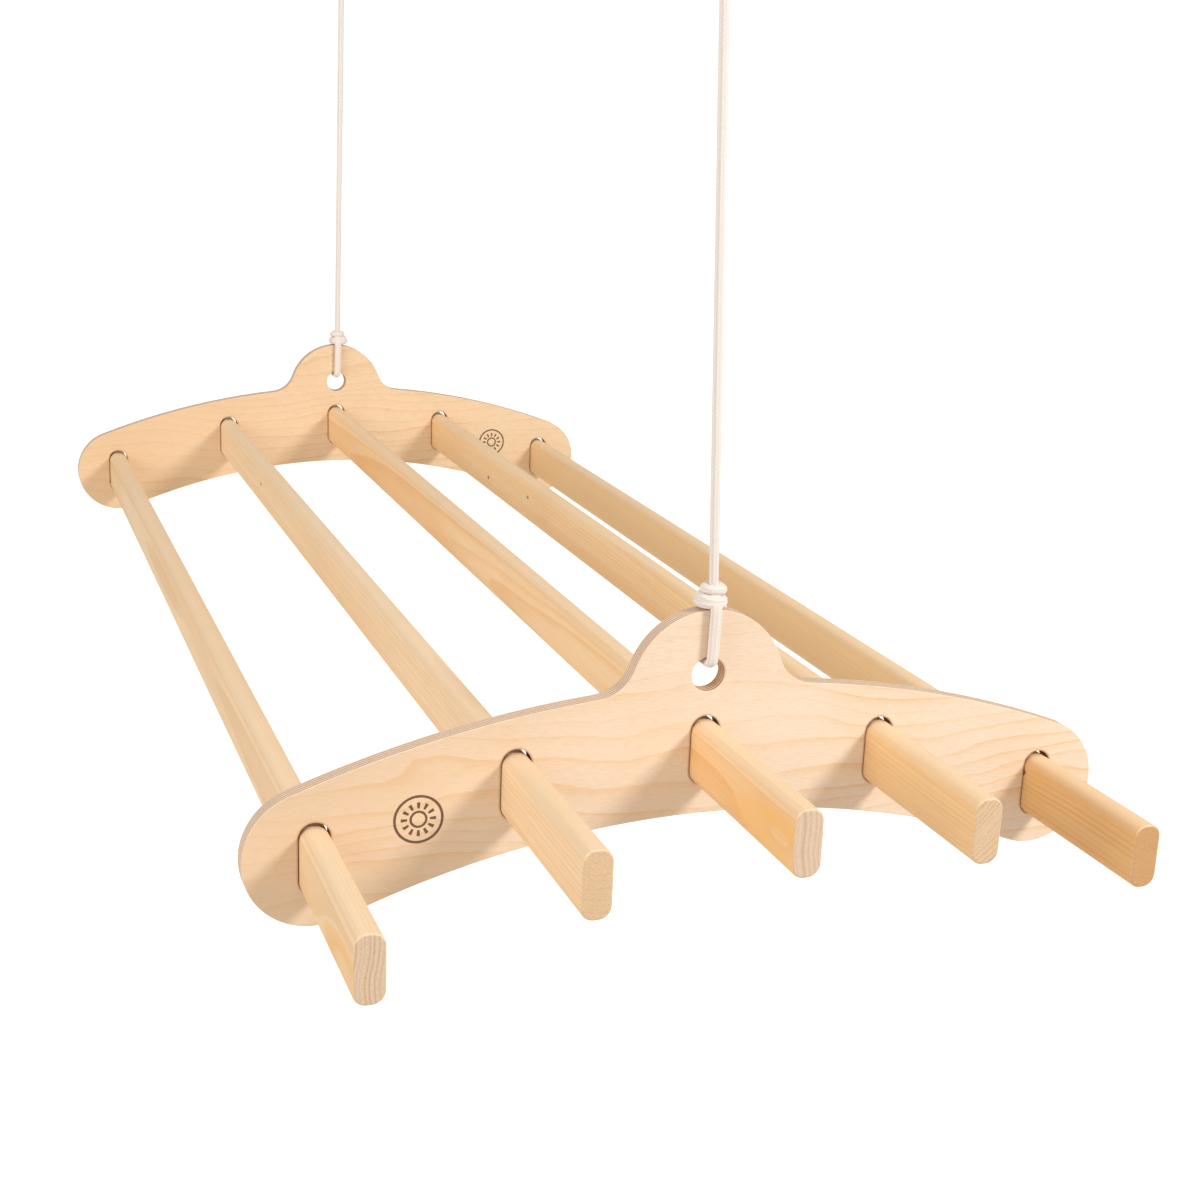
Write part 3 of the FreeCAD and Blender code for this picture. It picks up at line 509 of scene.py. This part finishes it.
def burnt_mark_group():
    """The maker's round burnt mark: a ring with a plain sun inside."""
    tree, w, given, result = shader_group(
        "burnt mark", [("Position", "vector"), ("Centre", "vector")], [("Mark", "value")])
    off = w.split(w.vector("SUBTRACT", given["Position"], given["Centre"]))
    x, z = off["X"], off["Z"]
    ragged = w.noise(w.stretched(given["Position"], (900.0, 900.0, 900.0)), 1.0, 2.0, 0.5)
    out = w.add(w.reach(x, z), w.times(w.take(ragged, 0.5), 0.00045))

    def band(radius, half):
        return w.step(w.math("ABSOLUTE", w.take(out, radius)), half * 1.25, half * 0.75)

    ray = w.math("COSINE", w.times(w.math("ARCTAN2", z, x), SUN_RAYS))
    rays = w.times(w.step(ray, 0.20, 0.45), w.times(w.step(out, *RAYS_START),
                                                    w.step(out, *RAYS_STOP)))
    mark = w.math("MAXIMUM", band(MARK_RADIUS, 0.00088), band(SUN_RADIUS, 0.0008))
    mark = w.math("MAXIMUM", mark, rays)
    # burnt into the front face only
    on_face = w.step(w.math("ABSOLUTE", off["Y"]), 0.0016, 0.0010)
    w.feed(result["Mark"], w.times(mark, on_face))
    return tree


veneer = veneer_group()
slot_scorch = slot_scorch_group()
burnt_mark = burnt_mark_group()


def birch_plywood(name, middle_y, mark_centre, face_tone, line_tone, seed):
    """Veneer on the faces, the sheet's layers on the cut edges, and scorch round the slots."""
    made, w, shader = material(name, 0.5)
    place = object_place(w)
    spot = w.split(place)
    at = w.vector("ADD", place, (seed, 0.0, seed * 0.37))
    grain = w.use(veneer, Position=at, Line_spacing=0.0125)
    colour = w.mix(w.times(grain["Shade"], 0.30), rgb(*face_tone), rgb(*line_tone))
    colour = w.mix(w.times(grain["Line"], 0.62), colour, rgb(*line_tone))
    colour = w.shade(colour, w.step(grain["Fleck"], 0.28, 0.62, 0.90, 1.03))
    # the veneer is darker and more orange towards the left end of the bracket (-X)
    leftward = w.step(spot["X"], 0.02, -0.28)
    colour = w.mix(w.times(leftward, 0.50), colour, rgb(*LEFTWARD_TONE))
    cloud = w.noise(w.stretched(at, (14.0, 14.0, 14.0)), 1.0, 2.0, 0.5)
    colour = w.mix(w.step(cloud, 0.45, 0.80, 0.0, 0.22), colour, rgb(*CLOUD))

    # the layers show wherever the sheet is cut
    facing = w.math("ABSOLUTE", w.split(object_normal(w))["Y"])
    cut = w.step(facing, 0.85, 0.60)
    depth = w.take(spot["Y"], middle_y - PLY_THICK / 2)
    wavy = w.noise(w.stretched(place, (35.0, 35.0, 35.0)), 1.0, 2.0, 0.5)
    layer = w.add(w.math("DIVIDE", depth, PLY_LAYER), w.times(w.take(wavy, 0.5), 0.16))
    through = w.math("PINGPONG", layer, 1.0)
    crossways = w.step(through, 0.44, 0.56)
    glue = w.step(w.math("ABSOLUTE", w.take(through, 0.5)), 0.13, 0.05)
    pores = w.noise(w.stretched(place, (1400.0, 700.0, 1400.0)), 1.0, 2.0, 0.65)
    solid_wood = w.step(pores, 0.35, 0.7)
    edge_colour = w.mix(crossways, w.between(solid_wood, LONG_LAYER),
                        w.between(solid_wood, CROSS_LAYER))
    edge_colour = w.mix(w.times(glue, 0.45), edge_colour, rgb(*GLUE))

    # slots and the rope hole are browned by the cutter
    scorch = w.use(slot_scorch, Position=place)
    soot = w.noise(w.stretched(place, (500.0, 160.0, 500.0)), 1.0, 3.0, 0.6)
    char = w.between(w.step(soot, 0.3, 0.7), CHAR)
    edge_colour = w.mix(w.times(scorch["Wall"], 0.90), edge_colour, char)
    hole_gap = w.reach(spot["X"], w.take(spot["Z"], HOLE_Z))
    in_hole = w.step(hole_gap, ROPE_HOLE_RADIUS + 0.0020, ROPE_HOLE_RADIUS + 0.0005)
    edge_colour = w.mix(w.times(in_hole, 0.85), edge_colour, w.between(crossways, HOLE_LAYERS))
    colour = w.mix(w.times(scorch["Rim"], 0.65), colour, rgb(*SCORCHED_RIM))
    colour = w.mix(cut, colour, edge_colour)

    mark = w.use(burnt_mark, Position=place, Centre=mark_centre)["Mark"]
    colour = w.mix(w.times(mark, 0.93), colour, rgb(*BURNT))
    worn = w.use(handling, Position=at, Patch_size=0.16)
    colour = w.mix(w.times(worn["Grime"], 0.07), colour, rgb(*PLY_GRIME))
    w.feed(shader.inputs["Base Color"], colour)
    rough = w.add(w.times(grain["Fleck"], 0.14), w.times(cut, 0.18))
    rough = w.add(w.add(rough, 0.44), w.times(mark, 0.2))
    w.feed(shader.inputs["Roughness"], w.take(rough, w.times(worn["Rubbed"], 0.05)))
    height = w.add(w.times(grain["Fleck"], 0.3), w.times(w.times(glue, cut), -0.5))
    height = w.add(height, w.times(w.times(pores, cut), 0.4))
    height = w.take(height, w.times(mark, 1.4))
    w.feed(shader.inputs["Normal"], w.bump(height, 0.5, 0.0003))
    return made


near_ply = birch_plywood(
    "birch plywood near", NEAR_Y, mark_centre=(-0.1948, NEAR_Y - PLY_THICK / 2, -0.6019),
    face_tone=(0.90, 0.735, 0.585), line_tone=(0.82, 0.53, 0.26), seed=0.0)
far_ply = birch_plywood(
    "birch plywood far", FAR_Y, mark_centre=(0.1990, FAR_Y - PLY_THICK / 2, -0.6010),
    face_tone=(0.85, 0.635, 0.42), line_tone=(0.76, 0.48, 0.25), seed=6.3)
dress("near_bracket", near_ply)
dress("far_bracket", far_ply)


# ---------------------------------------------------------------- metal and nylon

def plain_finish(name, tone, dark_tone, roughness, metallic, turned=False, spangle=0.0):
    """Zinc, steel, brass or nylon. Turned parts carry fine rings round the axle, and spangle
    is how much darker the darkest zinc crystals are."""
    made, w, shader = material(name, roughness, metallic)
    at = object_place(w)
    worn = w.use(handling, Position=at, Patch_size=0.03)
    colour = w.mix(w.times(worn["Grime"], 0.45), rgb(*tone), rgb(*dark_tone))
    fine = w.noise(w.stretched(at, (900.0, 260.0, 900.0)), 1.0, 3.0, 0.6)
    rough = w.add(roughness - 0.06, w.times(fine, 0.14))
    rough = w.take(rough, w.times(worn["Rubbed"], 0.10))
    height = w.times(fine, 0.25)
    if spangle:
        crystals = w.node("ShaderNodeTexVoronoi", feature="F1")
        w.feed(crystals.inputs["Vector"], at)
        w.feed(crystals.inputs["Scale"], 190.0)
        tint = w.step(w.split(crystals.outputs["Color"])["X"], 0.0, 1.0, 1.0 - spangle, 1.0)
        colour = w.shade(colour, tint)
    if turned:
        rings = w.noise(w.join(w.times(w.split(at)["X"], 5200.0), 0.0, 0.0), 1.0, 2.0, 0.7)
        height = w.add(height, w.times(rings, 0.5))
    w.feed(shader.inputs["Base Color"], colour)
    w.feed(shader.inputs["Roughness"], rough)
    w.feed(shader.inputs["Normal"], w.bump(height, 0.35, 0.0001))
    return made


zinc = plain_finish("zinc plated steel", (0.60, 0.61, 0.62), (0.38, 0.37, 0.35),
                    roughness=0.38, metallic=1.0, spangle=0.16)
bright_steel = plain_finish("bright steel", (0.68, 0.67, 0.66), (0.40, 0.38, 0.36),
                            roughness=0.26, metallic=1.0, turned=True)
brass = plain_finish("turned brass", (0.80, 0.58, 0.27), (0.42, 0.27, 0.12),
                     roughness=0.28, metallic=1.0, turned=True)
nylon = plain_finish("off-white nylon", (0.80, 0.78, 0.72), (0.52, 0.48, 0.42),
                     roughness=0.36, metallic=0.0, turned=True)

PULLEY_FINISHES = [("ceiling_plate", zinc, "zinc_steel"), ("yoke", zinc, "zinc_steel"),
                   ("yoke_rivets", bright_steel, "steel"), ("axle_pin", bright_steel, "steel"),
                   ("axle_clip", bright_steel, "steel"), ("bush", brass, "brass"),
                   ("wheel", nylon, "wheel")]

for end in ("near", "far"):
    for part, finish, slot in PULLEY_FINISHES:
        dress(f"{end}_{part}", finish)


# ---------------------------------------------------------------- rope

ROPE_RADIUS = 0.0032                    # out to the crests of the plaits
PLAITS = 8
PLAIT_PITCH = 0.0030
PLAIT_DEPTH = 0.00020
TIGHT_PLAIT_DEPTH = 0.00013             # where a knot pulls the braid smooth
AROUND = 40                             # mesh columns round a rope

COTTON = (0.87, 0.80, 0.77)
COTTON_PAINTED_SHADE = (0.75, 0.68, 0.63)
COTTON_AGED = (0.82, 0.74, 0.68)


def cotton():
    """Natural cotton braid: off-white, matt, with painted shade down between the plaits."""
    made, w, shader = material("cotton braid", 0.92, specular=0.25)
    shader.inputs["Sheen Weight"].default_value = 0.25
    shader.inputs["Sheen Roughness"].default_value = 0.6
    plait = w.node("ShaderNodeAttribute", attribute_name="plait").outputs["Fac"]
    wrap = w.split(w.node("ShaderNodeUVMap", uv_map="wrap").outputs["UV"])
    yarn = w.join(w.times(wrap["X"], 60.0), w.times(wrap["Y"], 900.0), 0.0)
    fibre = w.noise(yarn, 1.0, 3.0, 0.65)
    at = object_place(w)
    fluff = w.noise(w.stretched(at, (1300.0, 1300.0, 1300.0)), 1.0, 3.0, 0.7)
    patch = w.noise(w.stretched(at, (35.0, 35.0, 35.0)), 1.0, 2.0, 0.5)
    # painted shade: the low parts between the plaits are painted darker
    colour = w.mix(w.step(plait, 0.05, 0.75), rgb(*COTTON_PAINTED_SHADE), rgb(*COTTON))
    colour = w.mix(w.step(patch, 0.45, 0.75, 0.0, 0.20), colour, rgb(*COTTON_AGED))
    colour = w.shade(colour, w.step(fibre, 0.25, 0.70, 0.95, 1.03))
    w.feed(shader.inputs["Base Color"], colour)
    w.feed(shader.inputs["Roughness"], w.step(fluff, 0.0, 1.0, 0.84, 0.98))
    height = w.add(w.times(fibre, 0.6), w.times(fluff, 0.5))
    w.feed(shader.inputs["Normal"], w.bump(height, 0.5, 0.00025))
    return made


cotton_braid = cotton()


def rope_line(route, fineness):
    """Points along the smooth curve through a route, from its NURBS spline."""
    data = bpy.data.curves.new("route", "CURVE")
    data.dimensions = "3D"
    data.resolution_u = fineness
    spline = data.splines.new("NURBS")
    spline.points.add(len(route) - 1)
    for point, place in zip(spline.points, route):
        point.co = (*place, 1.0)
    spline.order_u = 3
    spline.use_endpoint_u = True
    carrier = bpy.data.objects.new("route", data)
    scene.collection.objects.link(carrier)
    mesh = bpy.data.meshes.new_from_object(carrier)
    line = [v.co.copy() for v in mesh.vertices]
    bpy.data.objects.remove(carrier)
    bpy.data.meshes.remove(mesh)
    return line


def frames_along(line):
    """Length so far and two directions square to the line, at each of its points."""
    found = []
    side = None
    along = 0.0
    for k, place in enumerate(line):
        heading = (line[min(k + 1, len(line) - 1)] - line[max(k - 1, 0)]).normalized()
        if side is None:
            side = heading.orthogonal().normalized()
        side = (side - heading * side.dot(heading)).normalized()
        if k:
            along += (place - line[k - 1]).length
        found.append((along, side, heading.cross(side)))
    return found


def plait_height(around, along):
    """How proud the braid stands at a place, 0 to 1; around is in turns."""
    column, across = divmod(around * PLAITS, 1.0)
    slant = 1.0 if int(column) % 2 else -1.0
    shift = 0.5 * (int(column) % 2)
    run = (along / PLAIT_PITCH + slant * (across - 0.5) * 0.9 + shift) % 1.0
    return math.sin(math.pi * across) ** 0.6 * math.sin(math.pi * run) ** 0.6


def add_rope(bm, line, radius=ROPE_RADIUS, around=AROUND, depth=PLAIT_DEPTH):
    """A braided tube along a line, closed at both ends, added to a mesh in the making."""
    plait = bm.verts.layers.float.get("plait") or bm.verts.layers.float.new("plait")
    wrap = bm.loops.layers.uv.get("wrap") or bm.loops.layers.uv.new("wrap")
    rows = len(line) - 1
    made = bmesh.ops.create_grid(bm, x_segments=around, y_segments=rows, size=1.0)["verts"]
    found = frames_along(line)
    place_of = {}
    for v in made:
        turn = (v.co.x + 1.0) / 2.0
        k = round((v.co.y + 1.0) / 2.0 * rows)
        place_of[v] = (turn, k)
    for face in {f for v in made for f in v.link_faces}:
        for loop in face.loops:
            turn, k = place_of[loop.vert]
            loop[wrap].uv = (turn, found[k][0])
    for v, (turn, k) in place_of.items():
        along, side, other = found[k]
        height = plait_height(turn % 1.0, along)
        reach = radius - depth * (1.0 - height)
        angle = 2.0 * math.pi * turn
        v.co = line[k] + (side * math.cos(angle) + other * math.sin(angle)) * reach
        v[plait] = height if depth else 0.75
    bmesh.ops.remove_doubles(bm, verts=made, dist=1e-7)
    open_edges = [e for e in bm.edges if e.is_boundary]
    bmesh.ops.holes_fill(bm, edges=open_edges, sides=around + 1)


def finish_rope(name, bm):
    """Turn a mesh in the making into a piece of cotton rope."""
    bmesh.ops.recalc_face_normals(bm, faces=bm.faces)
    mesh = bpy.data.meshes.new(name)
    bm.to_mesh(mesh)
    bm.free()
    mesh.shade_smooth()
    mesh.materials.append(cotton_braid)
    piece = bpy.data.objects.new(name, mesh)
    scene.collection.objects.link(piece)
    return piece


def rope_piece(name, line, **settings):
    """One rope along one line, as a piece of its own."""
    bm = bmesh.new()
    add_rope(bm, line, **settings)
    return finish_rope(name, bm)


def coil(centre, turns, points_per_turn, axis="Z", mirror=1.0):
    """Route of a winding about an axis. Turns lists the spots to go through, each a (turn,
    radius, height, side shift) in millimetres; whole turns are at the back."""
    route = []
    first, last = turns[0][0], turns[-1][0]
    steps = round((last - first) * points_per_turn)
    for n in range(steps + 1):
        t = first + (last - first) * n / steps
        for a, b in zip(turns, turns[1:]):
            if t <= b[0] + 1e-9:
                share = (t - a[0]) / (b[0] - a[0])
                radius, height, shift = (p + (q - p) * share for p, q in zip(a[1:], b[1:]))
                break
        angle = 2.0 * math.pi * t
        across = mirror * radius * math.sin(angle) + mirror * shift
        back = radius * math.cos(angle)
        spot = (across, back, height) if axis == "Z" else (across, -height, back)
        route.append(Vector(centre) + Vector(spot) * MM)
    return route


# each loop goes down the front of its bracket, through the hole and up the back; these spots
# and the heights below are in millimetres from the middle of the hole
LOOP_ROUTE = [(2.0, -2.0, 56.0), (1.7, -5.8, 52.8), (1.4, -9.5, 46.2), (1.3, -9.5, 36.0),
              (1.1, -9.5, 27.0), (0.9, -9.5, 18.0), (0.6, -9.5, 7.8), (0.5, 0.0, 7.8),
              (0.4, 9.5, 7.8), (0.5, 9.5, 18.0), (0.7, 9.5, 27.0), (0.9, 9.5, 36.0),
              (1.2, 9.5, 46.2), (1.8, 5.8, 52.8), (2.2, 2.0, 56.0)]
NEAR_TURNS = [(0.0, 4.0, 50.0, 0.0), (0.12, 8.4, 48.3, -1.5), (1.0, 8.6, 48.6, -1.8),
              (1.5, 8.3, 50.6, -1.6), (2.0, 7.0, 53.2, -0.6), (2.18, 6.3, 56.8, 0.0),
              (3.0, 6.0, 57.4, 0.0), (3.2, 5.6, 57.6, 0.0), (3.5, 2.0, 55.5, 0.0)]
FAR_TURNS = [(0.0, 4.0, 50.0, 0.0), (0.12, 8.8, 48.4, -1.2), (1.0, 8.5, 49.0, -1.2),
             (1.5, 8.0, 51.2, -0.8), (2.0, 6.8, 53.6, -0.2), (2.2, 6.0, 56.9, 0.2),
             (3.1, 5.8, 57.6, 0.2), (3.5, 2.0, 55.5, 0.0)]
STOPPER_TURNS = [(0.0, 3.0, 4.5, 0.0), (0.15, 6.3, 3.6, 0.0), (1.0, 6.6, 4.2, 0.0),
                 (2.0, 6.5, 9.2, 0.0), (2.9, 6.2, 11.4, 0.0), (3.2, 3.0, 9.0, 0.0)]


def whip_tail(bm, mouth, start, length):
    """Thread whipping that keeps the rope's cut end from fraying."""
    turns = [(n / 2.0, 3.15, start + length * n / 16.0, 0.0) for n in range(17)]
    add_rope(bm, rope_line(coil(mouth, turns, 10, axis="Y"), 3), radius=0.00035, around=8,
             depth=0.0)


LOOP_SPREAD = 1.25                      # loops are widened by this
LOOP_OFFSET = 0.0010                    # about a line this far right of the hole
KNOT_OFFSET = 0.0026                    # knots sit this far right of it
KNOT_HEAD = 0.0605                      # top of the knot, above the hole
KNOT_TUCK = 0.0045                      # how far the taut rope goes on into the knot
STRAIGHT_RUN = 0.036                    # between the route points at each end of that rope
GROOVE_RUN = 0.036                      # from leaving the wheel to hanging free of it
WHEEL_ROPE_RADIUS = 0.020               # wheel axle to the middle of the rope
ARC_PARTS = 9                           # route points round a wheel
MOUTH_RUN = 0.0162                      # from over the axle to the mouth of the yoke
STOPPER_RUN = 0.0275                    # from over the axle to the stopper knot
HAUL_GAP, HAUL_TUCK = 0.0002, 0.004     # after the rope on the wheel, and into the knot
TAIL_ROUTE = [(0.0, -1.0, 0.0), (0.0, -12.0, 0.0), (0.0, -22.0, -0.3), (0.2, -34.6, -1.2)]
# where each taut rope meets its wheel
NEAR_CONTACT = Vector((0.0, 0.01993, -0.03665))
FAR_CONTACT = Vector((0.0, 1.10393, -0.03336))


def tie_ropes(end, bracket_y, pulley_y, contact, turns, mirror):
    """One rope from its loop round the bracket to its stopper knot at the ceiling. Mirror -1
    winds the loop's knot the other way."""
    hole = Vector((0.0, bracket_y, HOLE_Z))
    bm = bmesh.new()
    loop = [hole + Vector((x, y, z)) * MM for x, y, z in LOOP_ROUTE]
    add_rope(bm, rope_line(loop, 16), depth=TIGHT_PLAIT_DEPTH)
    # pulled tight, the loop lies a little flat on the plywood
    bmesh.ops.scale(bm, verts=bm.verts, vec=(LOOP_SPREAD, 1.0, 1.0),
                    space=Matrix.Translation((-LOOP_OFFSET, 0.0, 0.0)))
    knot_middle = hole + Vector((KNOT_OFFSET, 0.0, 0.0))
    add_rope(bm, rope_line(coil(knot_middle, turns, 10, mirror=mirror), 12),
             depth=TIGHT_PLAIT_DEPTH)
    knot = finish_rope(f"{end}_loop_knot", bm)
    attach(knot, "rope_loops")
    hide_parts(f"{end}_loop_and_knot")

    wheel = Vector((0.0, pulley_y, AXLE_Z))
    top = wheel + Vector((0.0, 0.0, WHEEL_ROPE_RADIUS))
    mouth_y, knot_y = top.y - MOUTH_RUN, top.y - STOPPER_RUN
    knot_head = knot_middle + Vector((0.0, 0.0, KNOT_HEAD))
    heading = (contact - knot_head).normalized()
    lower_end = knot_head - heading * KNOT_TUCK
    # inside the groove the rope keeps to its wheel, and bends below it as the rack swings
    clear = contact - heading * GROOVE_RUN
    leaving = rope_piece(f"{end}_rope_leaving_wheel",
                         rope_line([contact, (contact + clear) / 2, clear], 60))
    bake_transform(leaving)
    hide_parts(f"{end}_rope")
    route = [clear, clear - heading * STRAIGHT_RUN, lower_end + heading * STRAIGHT_RUN, lower_end]
    drop_line = rope_line(route, 300)
    drop = rope_piece(f"{end}_taut_rope", drop_line)
    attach(drop, "ropes")
    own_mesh(drop)
    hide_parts(f"{end}_rope")

    start = math.atan2(contact.z - wheel.z, contact.y - wheel.y)
    sweep = math.pi / 2 - start
    # control points of a curve that rounds a wheel stand a little outside it
    stand_out = 1.0 / math.cos(sweep / ARC_PARTS / 2)
    over = [contact]
    for n in range(ARC_PARTS):
        angle = start + sweep * (n + 0.5) / ARC_PARTS
        over.append(wheel + Vector((0.0, math.cos(angle), math.sin(angle)))
                    * WHEEL_ROPE_RADIUS * stand_out)
    over += [top, Vector((0.0, mouth_y, top.z))]
    over_wheel = rope_piece(f"{end}_rope_on_wheel", rope_line(over, 8))
    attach(over_wheel, "ceiling_fittings")
    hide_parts(f"{end}_rope_over_wheel")

    short = [Vector((0.0, y, top.z))
             for y in (mouth_y + HAUL_GAP, (mouth_y + knot_y) / 2, knot_y - HAUL_TUCK)]
    hauling = rope_piece(f"{end}_hauling_cord", rope_line(short, 60), around=28, depth=0.0)
    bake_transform(hauling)
    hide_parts(f"{end}_hauling_rope")

    mouth = Vector((0.0, knot_y, top.z))
    bm = bmesh.new()
    add_rope(bm, rope_line([mouth + Vector(spot) * MM for spot in TAIL_ROUTE], 24))
    add_rope(bm, rope_line(coil(mouth, STOPPER_TURNS, 10, axis="Y"), 12))
    whip_tail(bm, mouth + Vector((0.0, 0.0, -0.0009)), 27.5, 4.0)
    stopper = finish_rope(f"{end}_stopper", bm)
    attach(stopper, f"{end}_haul")
    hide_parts(f"{end}_stopper_knot")


tie_ropes("near", NEAR_Y, NEAR_PULLEY_Y, NEAR_CONTACT, NEAR_TURNS, 1.0)
tie_ropes("far", FAR_Y, FAR_PULLEY_Y, FAR_CONTACT, FAR_TURNS, -1.0)


# ---------------------------------------------------------------- stage

FLOOR_Z, FLOOR_HALF_WIDTH = -2.2, 60.0
FLOOR_TONES = ((0.93, 0.93, 0.93), (0.96, 0.96, 0.955))
WARM_WHITE = (1.0, 0.93, 0.83)
WHITE = (1.0, 1.0, 1.0)


def lay_floor():
    """A white floor that glows a little, so that no horizon shows behind the rack."""
    made, w, shader = material("white floor", 0.8)
    tone = w.noise(object_place(w), 0.7, 2.0, 0.5)
    w.feed(shader.inputs["Base Color"], w.between(tone, FLOOR_TONES))
    shader.inputs["Emission Color"].default_value = rgb(*WHITE)
    seen = w.node("ShaderNodeLightPath").outputs["Is Camera Ray"]
    w.feed(shader.inputs["Emission Strength"], w.times(seen, 0.7))
    bm = bmesh.new()
    bmesh.ops.create_grid(bm, x_segments=1, y_segments=1, size=FLOOR_HALF_WIDTH)
    bmesh.ops.translate(bm, verts=bm.verts, vec=(0.0, 0.0, FLOOR_Z))
    mesh = bpy.data.meshes.new("floor")
    bm.to_mesh(mesh)
    bm.free()
    mesh.materials.append(made)
    floor = bpy.data.objects.new("floor", mesh)
    scene.collection.objects.link(floor)


def light_the_room():
    """Even warm light all round, and a brighter plain white wherever the camera sees it."""
    world = bpy.data.worlds.new("studio")
    world.use_nodes = True
    w = Wiring(world.node_tree)
    background = world.node_tree.nodes["Background"]
    seen = w.node("ShaderNodeLightPath").outputs["Is Camera Ray"]
    w.feed(background.inputs["Color"], w.between(seen, (WARM_WHITE, WHITE)))
    w.feed(background.inputs["Strength"], w.add(w.times(seen, 0.48), 0.56))
    scene.world = world


lay_floor()
light_the_room()
soft_light("key", (1.63, -1.64, 1.10), target=(0.0, 0.3, -0.6), size=0.75, power=56.0,
           colour=(1.0, 0.985, 0.96))
soft_light("fill", (-3.2, -0.6, 0.8), target=(0.0, 0.5, -0.6), size=2.4, power=56.0)
